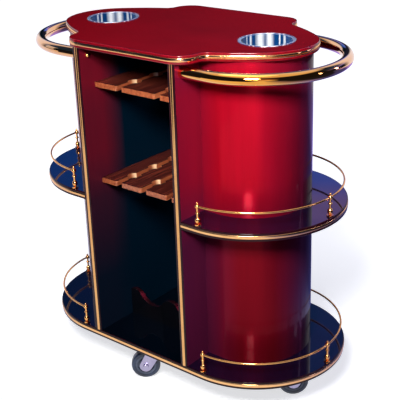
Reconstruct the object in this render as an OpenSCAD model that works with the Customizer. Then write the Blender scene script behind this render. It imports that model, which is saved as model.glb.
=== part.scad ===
// Bar cart: an open middle bay between two side panels, a round drum at each end,
// half-round shelves with brass gallery rails, a shaped top with two lift-out wells,
// a tube handle round each end and four swivel casters under the base.
// X runs along the length, the open front looks along -Y, Z is up, the floor is z = 0.

/* [Boards] */
// Thickness of the base, the shelves, the side panels and the top
board_t = 19; // [16:1:22]
// Depth of the base and the side panels, front to back
base_d = 450; // [420:2:480]
// Straight length in the middle of the base, between its two round ends
straight_l = 400; // [380:2:440]
// Height of the base's lower face above the tops of the wheels
ride = 20; // [19:1:30]
// Height of the side panels between the base and the top
panel_h = 753; // [700:1:800]
// Clear width of the middle bay between the side panels
bay_w = 275; // [250:1:290]
// Height of the end shelves' upper face above the base's upper face
shelf_rise = 386; // [340:1:440]

/* [Top] */
// Length of the wide middle block of the top
block_l = 380; // [360:2:400]
// How far that block stands out past the front and back of the base
top_lip = 5; // [2:0.5:10]
// Radius of the four round shoulders of the top
shoulder_r = 50; // [40:1:60]
// How far the tip of the top's round end stands out past the drum
tip_over = 21; // [12:1:30]
// Radius of the round end at its tip
tip_r = 125; // [115:1:135]
// Radius of the long flat curve that runs from the tip towards the shoulder
flank_r = 480; // [440:5:540]
// Direction in degrees in which the tip curve passes into the long flat curve
flank_turn = 52; // [50:1:54]
// Radius of the hollow curve between the long curve and the shoulder
hollow_r = 25; // [20:1:30]

/* [Edge trim] */
// Thickness of the brass edging, out to the face of its bead
trim_t = 3; // [2:0.5:4]
// Width of the bead that runs along the middle of the edging
bead_w = 9; // [7:0.5:11]
// How far the flat lips above and below the bead lie behind its face
lip_in = 1; // [0.5:0.1:1.5]
// Depth of the tongue that holds the edging in its groove
tongue_l = 7; // [5:0.5:9]
// Thickness of that tongue
tongue_t = 2; // [1.6:0.1:2.4]

/* [Drums] */
// Depth of shelf that stays clear between a drum and the shelf's round end
shelf_clear = 88; // [80:1:98]
// Radius of a drum's two outer corners
drum_r = 137; // [125:1:141]
// Length of the flat between a drum's two corners
drum_flat = 6; // [2:1:30]
// Wall of the bent drum shell
drum_wall = 6; // [4:0.5:9]

/* [Wells] */
// Distance of a well's centre from the tip of the top
well_set = 118; // [110:1:128]
// Radius of the bore in the top that takes a well
well_bore_r = 60; // [54:1:62]
// Radius of the flat rim that rests in a seat in the top
well_rim_r = 66; // [65:0.5:70]
// Depth of a well below the rim
well_depth = 160; // [120:5:200]
// Sheet thickness of a well
well_wall = 1.5; // [1:0.25:2]

/* [Handles] */
// Outer diameter of the handle tube
tube_d = 28; // [24:1:30]
// Distance of the tube's middle line inside the front and back of the base
handle_inset = 27; // [26:1:34]
// Distance from the middle of the cart to where the tube starts to bend
handle_x = 220; // [200:2:240]
// Height of the handle's middle line under the top's lower face
handle_drop = 22; // [18:1:30]

/* [Gallery rails] */
// Diameter of the rail rod
rod_d = 5; // [4:0.5:6]
// Height of the rod's middle line above the shelf
rail_h = 46; // [40:1:52]
// Distance of the rod's middle line from the outer edge of the shelf
rail_inset = 10.5; // [9:0.5:14]

/* [Racks and cradles] */
// Thickness of the stemware racks and the bottle cradles
rack_t = 12; // [10:1:15]
// Distance of the upper rack's upper face below the underside of the top
upper_rack_drop = 93; // [73:1:140]
// Height of the lower rack's upper face above the base's upper face
lower_rack_z = 415; // [360:1:450]
// Distance of the racks' front edge behind the front of the cabinet
rack_setback = 47; // [36:1:70]
// Width of a stem slot
slot_w = 15; // [12:1:18]
// Radius of the round seats along a stem slot
seat_r = 17; // [14:1:20]
// Distance between the two slots of the upper rack
upper_pitch = 120; // [100:1:130]
// Distance from a rack's front edge to the first round seat of a slot
first_seat = 56; // [45:1:62]
// Distance between the round seats along a slot
seat_pitch = 76; // [66:1:80]
// Distance between the three slots of the lower rack
lower_pitch = 81; // [70:1:86]
// Distance of each bottle cradle from the middle of the cabinet
cradle_y = 98; // [80:1:130]
// Height of a cradle's crests
crest_h = 76; // [66:1:90]
// Height of a cradle's troughs
trough_h = 44; // [36:1:50]
// Distance between the two troughs of a cradle
trough_pitch = 124; // [110:1:130]

/* [Casters] */
// Diameter of the caster wheels
wheel_d = 75; // [70:1:80]
// Width of the tyres
tyre_w = 24; // [20:1:26]
// Distance of the wheel's centre behind the swivel line
trail = 29; // [24:1:34]
// Distance of the front and back casters inside the long edges of the base
caster_side = 61; // [55:1:75]
// Distance of the end casters inside the round ends of the base
caster_end = 75; // [65:1:95]
// Direction in degrees in which the wheels trail at rest
caster_turn = 221; // [0:1:359]

/* [Hidden] */
$fn = 96;
gap = 0.3;
run = 0.08;
over = 1;
end_r = base_d / 2;
half_straight = straight_l / 2;
base_end = half_straight + end_r;
base_bottom = wheel_d + ride;
base_top = base_bottom + board_t;
panel_top = base_top + panel_h;
cart_top = panel_top + board_t;
shelf_top = base_top + shelf_rise;
bay_x = bay_w / 2;
panel_out = bay_x + board_t;
edge_in = trim_t + gap;
groove_t = tongue_t + 2 * gap;
groove_in = edge_in + tongue_l + gap;
dado = 6;
back_t = 12;
block_d = base_d + 2 * top_lip;
drum_x = base_end - shelf_clear;
drum_y = drum_r + drum_flat / 2;
tip_x = drum_x + tip_over;
well_x = tip_x - well_set;
well_z = cart_top - well_wall;
rail_r = end_r - rail_inset;
handle_r = base_d / 2 - handle_inset;
handle_z = panel_top - handle_drop;
upper_z = panel_top - upper_rack_drop;
lower_z = base_top + lower_rack_z;
rack_front = -base_d / 2 + rack_setback;

// Sizes of the handle bolts and tube
bolt_r = 4;
bolt_in = 20;
head_r = 6.8;
head_rim = 2;
plug_l = 16;
tube_wall = 2;
back_y = handle_r + head_r + 1;

// Sizes of the spindles
foot_r = 8;
foot_t = 3;
stem_r = 2.6;
neck_r = 1.6;
vase_r = 6.5;
vase_mid = 11.5;
vase_half = 9;
ring_z = 31;
ring_r = 2.2;
ring_out = 5;
ball_r = 6;
finial_r = 2.6;
finial_up = 8.2;
tenon_r = 3;
tenon_l = 7;
vase_arc = (vase_half * vase_half + vase_r * vase_r) / (2 * vase_r);
spindle_turns = [-90, 0, 90];

// Sizes of the wells, racks and cradles
well_r = well_bore_r - gap;
well_corner = 12;
bead_r = 1.5;
seats = 4;
mouth_r = 4;
wave_half = trough_pitch / 2;
wave_drop = crest_h - trough_h;
wave_sum = (wave_half * wave_half + wave_drop * wave_drop) / (2 * wave_drop);
crest_r = 0.4 * wave_sum;
trough_r = 0.6 * wave_sum;
crest_z = crest_h - crest_r;
trough_z = trough_h + trough_r;

// Sizes of the casters
wheel_r = wheel_d / 2;
hub_r = wheel_r - 10;
hub_w = tyre_w + 4;
hub_bore = bolt_r + run;
leg_t = 2.5;
leg_in = hub_w / 2 + gap;
leg_out = leg_in + leg_t;
crown_t = 3;
crown_r = 25;
race_r = 24;
race_t = 9;
plate_t = 3;
plate_l = 64;
plate_hole = 3.3;
plate_pitch = 48;
king_r = 5;
king_head_r = 8.5;
king_head_t = 3;
plate_z = base_bottom - plate_t;
race_z = plate_z - race_t;
crown_top = race_z - run;
crown_z = crown_top - crown_t;
king_head_z = crown_z - run - king_head_t;
boss_r = 16;
leg_back = 18;
leg_front = 24;
nut_r = 7.5;
nut_t = 5;
nut_sides = 6;
tyre_round = 5;
tyre_gap = 0.4;
rim_w = tyre_w - 2;
rim_in = 6;
web_t = 7;
boss_in = 9;
rib_w = 8;
rib_h = 2;
caster_y = end_r - caster_side;
caster_x = base_end - caster_end;
caster_seats = [[0, -caster_y], [0, caster_y], [-caster_x, 0], [caster_x, 0]];

// Where two circles cross, on the left of the line from a to b
function crossing(a, ra, b, rb) =
    let (d = norm(b - a), along = (ra * ra - rb * rb + d * d) / (2 * d))
    let (across = sqrt(ra * ra - along * along), u = (b - a) / d)
    a + along * u + across * [-u[1], u[0]];

// Where a line from the point p touches the circle round c, on the side given by way
function touch(p, c, r, way) =
    let (d = c - p, turn = atan2(d[1], d[0]) + way * asin(r / norm(d)))
    p + sqrt(d * d - r * r) * [cos(turn), sin(turn)];

shoulder_c = [block_l / 2 - shoulder_r, block_d / 2 - shoulder_r];
tip_c = [tip_x - tip_r, 0];
flank_c = tip_c - (flank_r - tip_r) * [cos(flank_turn), sin(flank_turn)];
hollow_c = crossing(shoulder_c, shoulder_r + hollow_r, flank_c, flank_r + hollow_r);

crimson = [0.53, 0.04, 0.1];
navy = [0.03, 0.07, 0.2];
brass = [0.85, 0.66, 0.32];
steel = [0.75, 0.77, 0.8];
maple = [0.55, 0.28, 0.14];
grey = [0.45, 0.48, 0.52];

// Draws a shape on both sides of the middle, front to back or end to end
module both_ways() {
    children();
    mirror([0, 1, 0]) children();
}

module both_ends() {
    children();
    mirror([1, 0, 0]) children();
}

// Keeps a shape that is drawn for the right end, or mirrors it to the left end
module end_side(side) {
    if (side < 0) mirror([1, 0, 0]) children();
    else children();
}

// Cuts a shape at the outer face of the side panel
module beyond_panel() {
    intersection() {
        children();
        translate([panel_out, -base_d, 0]) cube([base_d, 2 * base_d, cart_top]);
    }
}

// Outline of the base and the shelves; g moves it outwards
module stadium(g) {
    square([straight_l, base_d + 2 * g], center = true);
    for (side = [-1, 1]) translate([side * half_straight, 0]) circle(end_r + g, $fn = 180);
}

// Round end of the top: the tip and the two long flanks that run on from it
module top_end(g) {
    translate(tip_c) circle(tip_r + g, $fn = 180);
    intersection() {
        translate(flank_c) circle(flank_r + g, $fn = 360);
        translate([flank_c[0], -flank_c[1]]) circle(flank_r + g, $fn = 360);
        translate([0, -block_d]) square([tip_c[0] + (tip_r + g) * cos(flank_turn), 2 * block_d]);
    }
}

// Fills the corner beside a shoulder up to the hollow curve; side and way pick the corner
module hollow_fill(side, way, g) {
    reach = hollow_c + (hollow_r + shoulder_r) * (flank_c - hollow_c) / norm(flank_c - hollow_c);
    corners = side * way > 0 ? [shoulder_c, reach, hollow_c] : [shoulder_c, hollow_c, reach];
    difference() {
        polygon([for (c = corners) [side * c[0], way * c[1]]]);
        translate([side * hollow_c[0], way * hollow_c[1]]) circle(hollow_r - g);
    }
}

// Whole outline of the top; g moves it outwards
module top_outline(g) {
    square([block_l - 2 * shoulder_r, block_d + 2 * g], center = true);
    square([block_l + 2 * g, block_d - 2 * shoulder_r], center = true);
    for (turn = [0, 180]) rotate(turn) top_end(g);
    for (side = [-1, 1], way = [-1, 1]) {
        translate([side * shoulder_c[0], way * shoulder_c[1]]) circle(shoulder_r + g);
        hollow_fill(side, way, g);
    }
}

module outline(kind, g) {
    if (kind == "top") top_outline(g);
    else stadium(g);
}

// Board with a groove round its edge for the tongue of the edging
module edged_board(kind) {
    difference() {
        linear_extrude(board_t) outline(kind, -edge_in);
        translate([0, 0, (board_t - groove_t) / 2]) linear_extrude(groove_t) difference() {
            outline(kind, 0);
            outline(kind, -groove_in);
        }
    }
}

// Brass edging: a flat strip round the board, the bead that stands out along its middle and a
// tongue that stands in the groove
module edging(kind) {
    linear_extrude(board_t) difference() {
        outline(kind, -lip_in);
        outline(kind, -trim_t);
    }
    translate([0, 0, (board_t - bead_w) / 2]) linear_extrude(bead_w) difference() {
        outline(kind, 0);
        outline(kind, -trim_t);
    }
    translate([0, 0, (board_t - tongue_t) / 2]) linear_extrude(tongue_t) difference() {
        outline(kind, -trim_t / 2);
        outline(kind, -trim_t - tongue_l);
    }
}

// Places its children on the three spindle seats of the right end
module spindle_seats() {
    for (turn = spindle_turns)
        translate([half_straight + rail_r * cos(turn), rail_r * sin(turn), 0]) children();
}

module tenon_holes() {
    spindle_seats() translate([0, 0, -tenon_l - gap])
        cylinder(r = tenon_r + gap, h = tenon_l + gap + over, $fn = 32);
}

module base_board() {
    color(navy) difference() {
        translate([0, 0, base_bottom]) edged_board("base");
        both_ends() translate([0, 0, base_top]) tenon_holes();
    }
}

module base_edge_trim() {
    color(brass) translate([0, 0, base_bottom]) edging("base");
}

module mid_shelf(side) {
    color(navy) end_side(side) difference() {
        beyond_panel() translate([0, 0, shelf_top - board_t]) edged_board("base");
        translate([0, 0, shelf_top]) tenon_holes();
    }
}

module mid_shelf_trim(side) {
    color(brass) end_side(side)
        beyond_panel() translate([0, 0, shelf_top - board_t]) edging("base");
}

// Top with a bore for each well and a shallow seat that lets the well's rim in flush
module top_board() {
    color(crimson) difference() {
        translate([0, 0, panel_top]) edged_board("top");
        both_ends() translate([well_x, 0, panel_top - over])
            cylinder(r = well_bore_r, h = board_t + 2 * over);
        both_ends() translate([well_x, 0, well_z])
            cylinder(r = well_rim_r + gap, h = well_wall + over);
    }
}

module top_edge_trim() {
    color(brass) translate([0, 0, panel_top]) edging("top");
}

// Side panel with edging grooves, housings for the racks and the back, and bolt holes
module side_panel(side) {
    body_y = base_d / 2 - edge_in;
    color(crimson) end_side(side) difference() {
        translate([bay_x, -body_y, base_top]) cube([board_t, 2 * body_y, panel_h]);
        both_ways() translate([bay_x + (board_t - groove_t) / 2, base_d / 2 - groove_in, base_top - over])
            cube([groove_t, groove_in, panel_h + 2 * over]);
        for (z = [upper_z, lower_z]) translate([bay_x - over, rack_front - gap, z - rack_t])
            cube([dado + over, back_y - rack_front + 2 * gap, rack_t + gap]);
        translate([bay_x - over, back_y, base_top - over])
            cube([dado + over, back_t + gap, panel_h + 2 * over]);
        both_ways() translate([bay_x - over, handle_r, handle_z]) rotate([0, 90, 0])
            cylinder(r = bolt_r + gap, h = board_t + 2 * over);
    }
}

// Brass edging of one upright edge; way is -1 in front and 1 at the back
module panel_trim(side, way) {
    color(brass) end_side(side) mirror([0, way < 0 ? 1 : 0, 0]) {
        translate([bay_x + board_t / 2, base_d / 2 - trim_t, base_top]) linear_extrude(panel_h) {
            translate([-board_t / 2, 0]) square([board_t, trim_t - lip_in]);
            translate([-bead_w / 2, 0]) square([bead_w, trim_t]);
            translate([-tongue_t / 2, -tongue_l]) square([tongue_t, tongue_l + over]);
        }
    }
}

module back_panel() {
    half = bay_x + dado - gap;
    color(crimson) translate([-half, back_y, base_top]) cube([2 * half, back_t, panel_h]);
}

// Plan of a drum, drawn through the side panel; g moves it outwards
module drum_outline(g) {
    translate([0, -drum_y - g]) square([drum_x - drum_r, 2 * (drum_y + g)]);
    translate([0, drum_r - drum_y]) square([drum_x + g, 2 * (drum_y - drum_r)]);
    for (way = [-1, 1]) translate([drum_x - drum_r, way * (drum_y - drum_r)])
        circle(drum_r + g, $fn = 180);
}

module drum(side, z, h) {
    color(crimson) end_side(side) beyond_panel() translate([0, 0, z]) linear_extrude(h)
        difference() {
            drum_outline(0);
            drum_outline(-drum_wall);
        }
}

// Half section of a cup with a round lower corner
module cup_section(r, depth, corner) {
    translate([0, -depth]) square([r - corner, depth]);
    translate([0, corner - depth]) square([r, depth - corner]);
    translate([r - corner, corner - depth]) intersection() {
        circle(corner);
        translate([0, -corner]) square(corner);
    }
}

// Stainless well with a flat rim and a rolled edge, resting in its seat in the top
module well(side) {
    color(steel) end_side(side) translate([well_x, 0, well_z]) rotate_extrude() {
        difference() {
            cup_section(well_r, well_depth, well_corner);
            translate([0, well_wall]) cup_section(well_r - well_wall, well_depth, well_corner - well_wall);
            translate([0, -over / 2]) square([well_r - well_wall, over]);
        }
        translate([well_r - well_wall, 0]) square([well_rim_r - well_r + well_wall - bead_r, well_wall]);
        translate([well_rim_r - bead_r, bead_r]) circle(bead_r, $fn = 24);
    }
}

// Run of round bar along the handle's middle line, starting a little outside the panel
module handle_run(r, start) {
    both_ways() translate([panel_out + start, handle_r, handle_z]) rotate([0, 90, 0])
        cylinder(r = r, h = handle_x - panel_out - start, $fn = 48);
    translate([handle_x, 0, handle_z]) rotate([0, 0, -90])
        rotate_extrude(angle = 180, $fn = 180) translate([handle_r, 0]) circle(r, $fn = 48);
}

module handle(side) {
    color(brass) end_side(side) difference() {
        handle_run(tube_d / 2, 0);
        handle_run(tube_d / 2 - tube_wall, plug_l);
        both_ways() translate([panel_out - over, handle_r, handle_z]) rotate([0, 90, 0])
            cylinder(r = bolt_r + gap, h = bolt_in + over + gap, $fn = 48);
    }
}

// Round-headed bolts that pass through the side panels into the ends of the handles
module handle_bolts() {
    color(brass) both_ends() both_ways() translate([bay_x, handle_r, handle_z]) rotate([0, 90, 0]) {
        cylinder(r = bolt_r, h = board_t + bolt_in, $fn = 48);
        translate([0, 0, -head_rim]) cylinder(r = head_r, h = head_rim, $fn = 48);
        intersection() {
            translate([0, 0, -head_rim]) sphere(r = head_r, $fn = 48);
            translate([-head_r, -head_r, -head_rim - head_r]) cube([2 * head_r, 2 * head_r, head_r + over]);
        }
    }
}

module rail(side, z) {
    color(brass) end_side(side) translate([half_straight, 0, z + rail_h]) rotate([0, 0, -90])
        rotate_extrude(angle = 180, $fn = 180) translate([rail_r, 0]) circle(rod_d / 2, $fn = 24);
}

// Half section of a turned spindle: tenon, foot, vase, ring, ball and finial
module spindle_section() {
    tip = rail_h + finial_up;
    intersection() {
        union() {
            translate([0, -tenon_l]) square([tenon_r, tenon_l + foot_t]);
            square([foot_r, foot_t]);
            square([stem_r, rail_h]);
            translate([vase_r - vase_arc, vase_mid]) circle(vase_arc);
            translate([ring_out - ring_r, ring_z]) circle(ring_r, $fn = 24);
            translate([0, rail_h]) circle(ball_r, $fn = 48);
            square([neck_r, tip]);
            translate([0, tip]) circle(finial_r, $fn = 24);
        }
        translate([0, -tenon_l]) square([2 * foot_r, tenon_l + tip + finial_r]);
    }
}

// Three spindles of one rail; the balls of the outer two hold the rail's ends
module spindles(side, z) {
    bore_r = rod_d / 2 + gap;
    color(brass) end_side(side) for (turn = spindle_turns)
        translate([half_straight + rail_r * cos(turn), rail_r * sin(turn), z]) difference() {
            rotate_extrude($fn = 48) spindle_section();
            if (turn == 0)
                translate([0, -ball_r - over, rail_h]) rotate([-90, 0, 0])
                    cylinder(r = bore_r, h = 2 * (ball_r + over), $fn = 24);
            else
                translate([-gap, 0, rail_h]) rotate([0, 90, 0])
                    cylinder(r = bore_r, h = ball_r + over, $fn = 24);
        }
}

// Slot for glass stems: open in front, with round seats and a flared mouth
module stem_slot() {
    reach = first_seat + (seats - 1) * seat_pitch;
    translate([-slot_w / 2, -over]) square([slot_w, reach + over]);
    for (k = [0 : seats - 1]) translate([0, first_seat + k * seat_pitch]) circle(seat_r, $fn = 48);
    for (side = [-1, 1]) difference() {
        translate([side * (slot_w + mouth_r - over) / 2, (mouth_r - over) / 2])
            square([mouth_r + over, mouth_r + over], center = true);
        translate([side * (slot_w / 2 + mouth_r), mouth_r]) circle(mouth_r, $fn = 48);
    }
}

module stemware_rack(z, count, pitch) {
    half = bay_x + dado - gap;
    color(maple) translate([0, rack_front, z - rack_t]) linear_extrude(rack_t) difference() {
        translate([-half, 0]) square([2 * half, back_y - rack_front]);
        for (k = [0 : count - 1]) translate([(k - (count - 1) / 2) * pitch, 0]) stem_slot();
    }
}

// Waved upper edge of a bottle cradle, drawn from the middle to the right wall
module cradle_half() {
    intersection() {
        union() {
            difference() {
                polygon([[0, 0], [bay_x, 0], [bay_x, crest_z], [trough_pitch, crest_z],
                    [wave_half, trough_z], [0, crest_z]]);
                translate([wave_half, trough_z]) circle(trough_r);
            }
            for (x = [0, trough_pitch]) translate([x, crest_z]) circle(crest_r);
        }
        square([bay_x, crest_h]);
    }
}

module bottle_cradle(way) {
    color(crimson) both_ends() translate([0, way * cradle_y + rack_t / 2, base_top])
        rotate([90, 0, 0]) linear_extrude(rack_t) cradle_half();
}

// Fixed half of a caster: screw plate, bearing cup and king pin
module caster_plate() {
    difference() {
        translate([-plate_l / 2, -plate_l / 2, plate_z]) cube([plate_l, plate_l, plate_t]);
        both_ends() both_ways() translate([plate_pitch / 2, plate_pitch / 2, plate_z - over])
            cylinder(r = plate_hole, h = plate_t + 2 * over, $fn = 32);
    }
    translate([0, 0, race_z]) cylinder(r = race_r, h = race_t + plate_t / 2);
    translate([0, 0, king_head_z]) cylinder(r = king_r, h = race_t, $fn = 48);
    translate([0, 0, king_head_z]) cylinder(r = king_head_r, h = king_head_t, $fn = 48);
}

module caster_plates() {
    color(steel) for (seat = caster_seats) translate([seat[0], seat[1], 0]) caster_plate();
}

// Places the turning half of one caster, drawn with its wheel trailing along +X
module at_caster(k) {
    translate([caster_seats[k][0], caster_seats[k][1], 0]) rotate([0, 0, caster_turn]) children();
}

// Places a turned part on the wheel's centre with its axis across the fork
module on_axle(k) {
    at_caster(k) translate([trail, 0, wheel_r]) rotate([-90, 0, 0]) children();
}

module fork_leg() {
    hub_c = [trail, wheel_r];
    back_p = [-leg_back, crown_top];
    front_p = [leg_front, crown_top];
    difference() {
        union() {
            polygon([back_p, front_p, touch(front_p, hub_c, boss_r, 1), hub_c,
                touch(back_p, hub_c, boss_r, -1)]);
            translate(hub_c) circle(boss_r);
        }
        translate(hub_c) circle(hub_bore, $fn = 48);
    }
}

module caster_fork(k) {
    color(steel) at_caster(k) {
        difference() {
            translate([0, 0, crown_z]) cylinder(r = crown_r, h = crown_t);
            translate([0, 0, crown_z - over]) cylinder(r = king_r + run, h = crown_t + 2 * over, $fn = 48);
        }
        translate([0, leg_out, 0]) rotate([90, 0, 0]) linear_extrude(leg_t) fork_leg();
        translate([0, -leg_in, 0]) rotate([90, 0, 0]) linear_extrude(leg_t) fork_leg();
    }
}

module caster_hub(k) {
    color(grey) on_axle(k) rotate_extrude() difference() {
        union() {
            translate([0, -hub_w / 2]) square([boss_in, hub_w]);
            translate([0, -web_t / 2]) square([hub_r - rim_in / 2, web_t]);
            translate([hub_r - rim_in, -rim_w / 2]) square([rim_in, rim_w]);
        }
        translate([0, -hub_w / 2 - over]) square([hub_bore, hub_w + 2 * over]);
        translate([hub_r - rib_h, -rib_w / 2 - gap]) square([rib_h + over, rib_w + 2 * gap]);
    }
}

module caster_tyre(k) {
    in_r = hub_r + tyre_gap;
    color(grey) on_axle(k) rotate_extrude() {
        translate([in_r, -tyre_w / 2]) square([wheel_r - tyre_round - in_r, tyre_w]);
        translate([in_r, tyre_round - tyre_w / 2]) square([wheel_r - in_r, tyre_w - 2 * tyre_round]);
        for (way = [-1, 1]) translate([wheel_r - tyre_round, way * (tyre_w / 2 - tyre_round)])
            circle(tyre_round, $fn = 48);
        translate([in_r - rib_h, -rib_w / 2]) square([2 * rib_h, rib_w]);
    }
}

module caster_axle(k) {
    color(steel) on_axle(k) {
        translate([0, 0, -leg_out - over]) cylinder(r = bolt_r, h = 2 * (leg_out + over), $fn = 48);
        translate([0, 0, leg_out]) cylinder(r = nut_r, h = nut_t, $fn = nut_sides);
        translate([0, 0, -leg_out - nut_t]) cylinder(r = nut_r, h = nut_t, $fn = nut_sides);
    }
}

base_board();
base_edge_trim();
side_panel(-1);  // left_side_panel
side_panel(1);  // right_side_panel
panel_trim(-1, -1);  // left_front_panel_trim
panel_trim(-1, 1);  // left_back_panel_trim
panel_trim(1, -1);  // right_front_panel_trim
panel_trim(1, 1);  // right_back_panel_trim
back_panel();
drum(-1, base_top, shelf_rise - board_t);  // left_lower_drum
drum(-1, shelf_top, panel_top - shelf_top);  // left_upper_drum
drum(1, base_top, shelf_rise - board_t);  // right_lower_drum
drum(1, shelf_top, panel_top - shelf_top);  // right_upper_drum
mid_shelf(-1);  // left_mid_shelf
mid_shelf(1);  // right_mid_shelf
mid_shelf_trim(-1);  // left_mid_shelf_trim
mid_shelf_trim(1);  // right_mid_shelf_trim
top_board();
top_edge_trim();
well(-1);  // left_well
well(1);  // right_well
handle(-1);  // left_handle
handle(1);  // right_handle
handle_bolts();
rail(-1, base_top);  // left_base_rail
rail(1, base_top);  // right_base_rail
rail(-1, shelf_top);  // left_shelf_rail
rail(1, shelf_top);  // right_shelf_rail
spindles(-1, base_top);  // left_base_spindles
spindles(1, base_top);  // right_base_spindles
spindles(-1, shelf_top);  // left_shelf_spindles
spindles(1, shelf_top);  // right_shelf_spindles
stemware_rack(upper_z, 2, upper_pitch);  // upper_stemware_rack
stemware_rack(lower_z, 3, lower_pitch);  // lower_stemware_rack
bottle_cradle(-1);  // front_bottle_cradle
bottle_cradle(1);  // back_bottle_cradle
caster_plates();
caster_fork(0);  // front_caster_fork
caster_fork(1);  // back_caster_fork
caster_fork(2);  // left_caster_fork
caster_fork(3);  // right_caster_fork
caster_hub(0);  // front_caster_hub
caster_hub(1);  // back_caster_hub
caster_hub(2);  // left_caster_hub
caster_hub(3);  // right_caster_hub
caster_tyre(0);  // front_caster_tyre
caster_tyre(1);  // back_caster_tyre
caster_tyre(2);  // left_caster_tyre
caster_tyre(3);  // right_caster_tyre
caster_axle(0);  // front_caster_axle
caster_axle(1);  // back_caster_axle
caster_axle(2);  // left_caster_axle
caster_axle(3);  // right_caster_axle
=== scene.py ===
import math

import bmesh
import bpy
from mathutils import Matrix, Vector


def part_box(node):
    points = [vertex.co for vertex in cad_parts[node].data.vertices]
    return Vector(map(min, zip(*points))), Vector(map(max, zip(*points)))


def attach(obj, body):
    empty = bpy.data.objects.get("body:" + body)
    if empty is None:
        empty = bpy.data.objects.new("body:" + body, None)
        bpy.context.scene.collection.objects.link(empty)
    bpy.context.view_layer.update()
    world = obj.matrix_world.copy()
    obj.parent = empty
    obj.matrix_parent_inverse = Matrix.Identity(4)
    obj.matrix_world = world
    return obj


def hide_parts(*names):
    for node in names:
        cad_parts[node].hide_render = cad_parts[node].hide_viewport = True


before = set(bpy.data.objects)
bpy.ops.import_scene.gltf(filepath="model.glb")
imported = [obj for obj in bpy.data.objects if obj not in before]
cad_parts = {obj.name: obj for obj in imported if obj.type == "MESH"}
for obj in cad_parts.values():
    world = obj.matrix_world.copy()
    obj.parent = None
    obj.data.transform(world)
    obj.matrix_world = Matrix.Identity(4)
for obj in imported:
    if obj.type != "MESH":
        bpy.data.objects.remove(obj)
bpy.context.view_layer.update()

MM = 0.001
SIDES = ("left", "right")
WHEELS = ("front", "back", "left", "right")


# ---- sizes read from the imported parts, in metres

def span(node, axis):
    low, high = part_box(node)
    return low[axis], high[axis]


BASE_BOTTOM, BASE_TOP = span("base_board", 2)
SHELF_BOTTOM, SHELF_TOP = span("right_mid_shelf", 2)
TOP_BOTTOM, TOP_TOP = span("top_board", 2)
BOARD = TOP_TOP - TOP_BOTTOM
BASE_LENGTH = span("base_edge_trim", 0)[1]
BASE_HALF = span("base_edge_trim", 1)[1]
STRAIGHT = BASE_LENGTH - BASE_HALF
BAY_HALF, PANEL_OUT = span("right_side_panel", 0)
TOP_LENGTH = span("top_edge_trim", 0)[1]
TOP_HALF = span("top_edge_trim", 1)[1]
RACK_FRONT = span("upper_stemware_rack", 1)[0]
WELL_X = sum(span("right_well", 0)) / 2
PLATE_LOW = span("caster_plates", 2)[1] - 3 * MM

# the top's outline as in the part's source
BLOCK_HALF = 0.19
SHOULDER_R = 0.05
HOLLOW_R = 0.025
FLANK_R = 0.48
FLANK_TURN = 52.0
TIP_R = 0.125

# swivel axes of the casters at the ends and at the front and back
CASTER_X = 0.35
CASTER_Y = 0.164


# ---- node helpers

def add(tree, kind, at=None, **values):
    node = tree.nodes.new(kind)
    for key, value in values.items():
        setattr(node, key, value)
    for key, value in (at or {}).items():
        if isinstance(value, bpy.types.NodeSocket):
            tree.links.new(value, node.inputs[key])
        else:
            node.inputs[key].default_value = value
    return node


def calc(tree, operation, *values):
    """One step of arithmetic on numbers or sockets."""
    node = add(tree, "ShaderNodeMath", dict(enumerate(values)), operation=operation)
    return node.outputs["Value"]


def along(tree, vector, way):
    """How far a vector reaches in a direction."""
    node = add(tree, "ShaderNodeVectorMath", {0: vector, 1: way}, operation="DOT_PRODUCT")
    return node.outputs["Value"]


def split(tree, vector):
    """The X, Y and Z of a vector."""
    return add(tree, "ShaderNodeSeparateXYZ", {0: vector}).outputs


def ramp(tree, value, low, high, to_low=0.0, to_high=1.0):
    """Passes from one number to another while the value passes from low to high."""
    return add(tree, "ShaderNodeMapRange", {"Value": value, "From Min": low, "From Max": high,
                                            "To Min": to_low, "To Max": to_high}).outputs["Result"]


def blend_colours(tree, mask, first, second):
    mix = tree.nodes.new("ShaderNodeMix")
    mix.data_type = "RGBA"
    sockets = [s for s in mix.inputs if s.type == "RGBA"]
    tree.links.new(mask, mix.inputs[0])
    for socket, value in zip(sockets, (first, second)):
        if isinstance(value, bpy.types.NodeSocket):
            tree.links.new(value, socket)
        else:
            socket.default_value = (*value, 1)
    return [s for s in mix.outputs if s.type == "RGBA"][0]


def colour_steps(tree, value, steps):
    """Colours at given values, with even passages between them."""
    node = tree.nodes.new("ShaderNodeValToRGB")
    tree.links.new(value, node.inputs["Fac"])
    elements = node.color_ramp.elements
    for number, (position, colour) in enumerate(steps):
        element = elements[number] if number < 2 else elements.new(position)
        element.position = position
        element.color = (*colour, 1)
    return node.outputs["Color"]


def new_group(name, inputs, outputs):
    tree = bpy.data.node_groups.new(name, "ShaderNodeTree")
    for label, kind, value in inputs:
        item = tree.interface.new_socket(label, in_out="INPUT", socket_type="NodeSocket" + kind)
        if value is not None:
            item.default_value = value
    for label, kind in outputs:
        tree.interface.new_socket(label, in_out="OUTPUT", socket_type="NodeSocket" + kind)
    start = tree.nodes.new("NodeGroupInput")
    end = tree.nodes.new("NodeGroupOutput")
    return tree, start.outputs, end.inputs


def use(tree, group, **inputs):
    node = tree.nodes.new("ShaderNodeGroup")
    node.node_tree = group
    for key, value in inputs.items():
        socket = node.inputs[key.replace("_", " ")]
        if isinstance(value, bpy.types.NodeSocket):
            tree.links.new(value, socket)
        else:
            socket.default_value = value
    return node.outputs


# ---- effects that several finishes share

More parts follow.
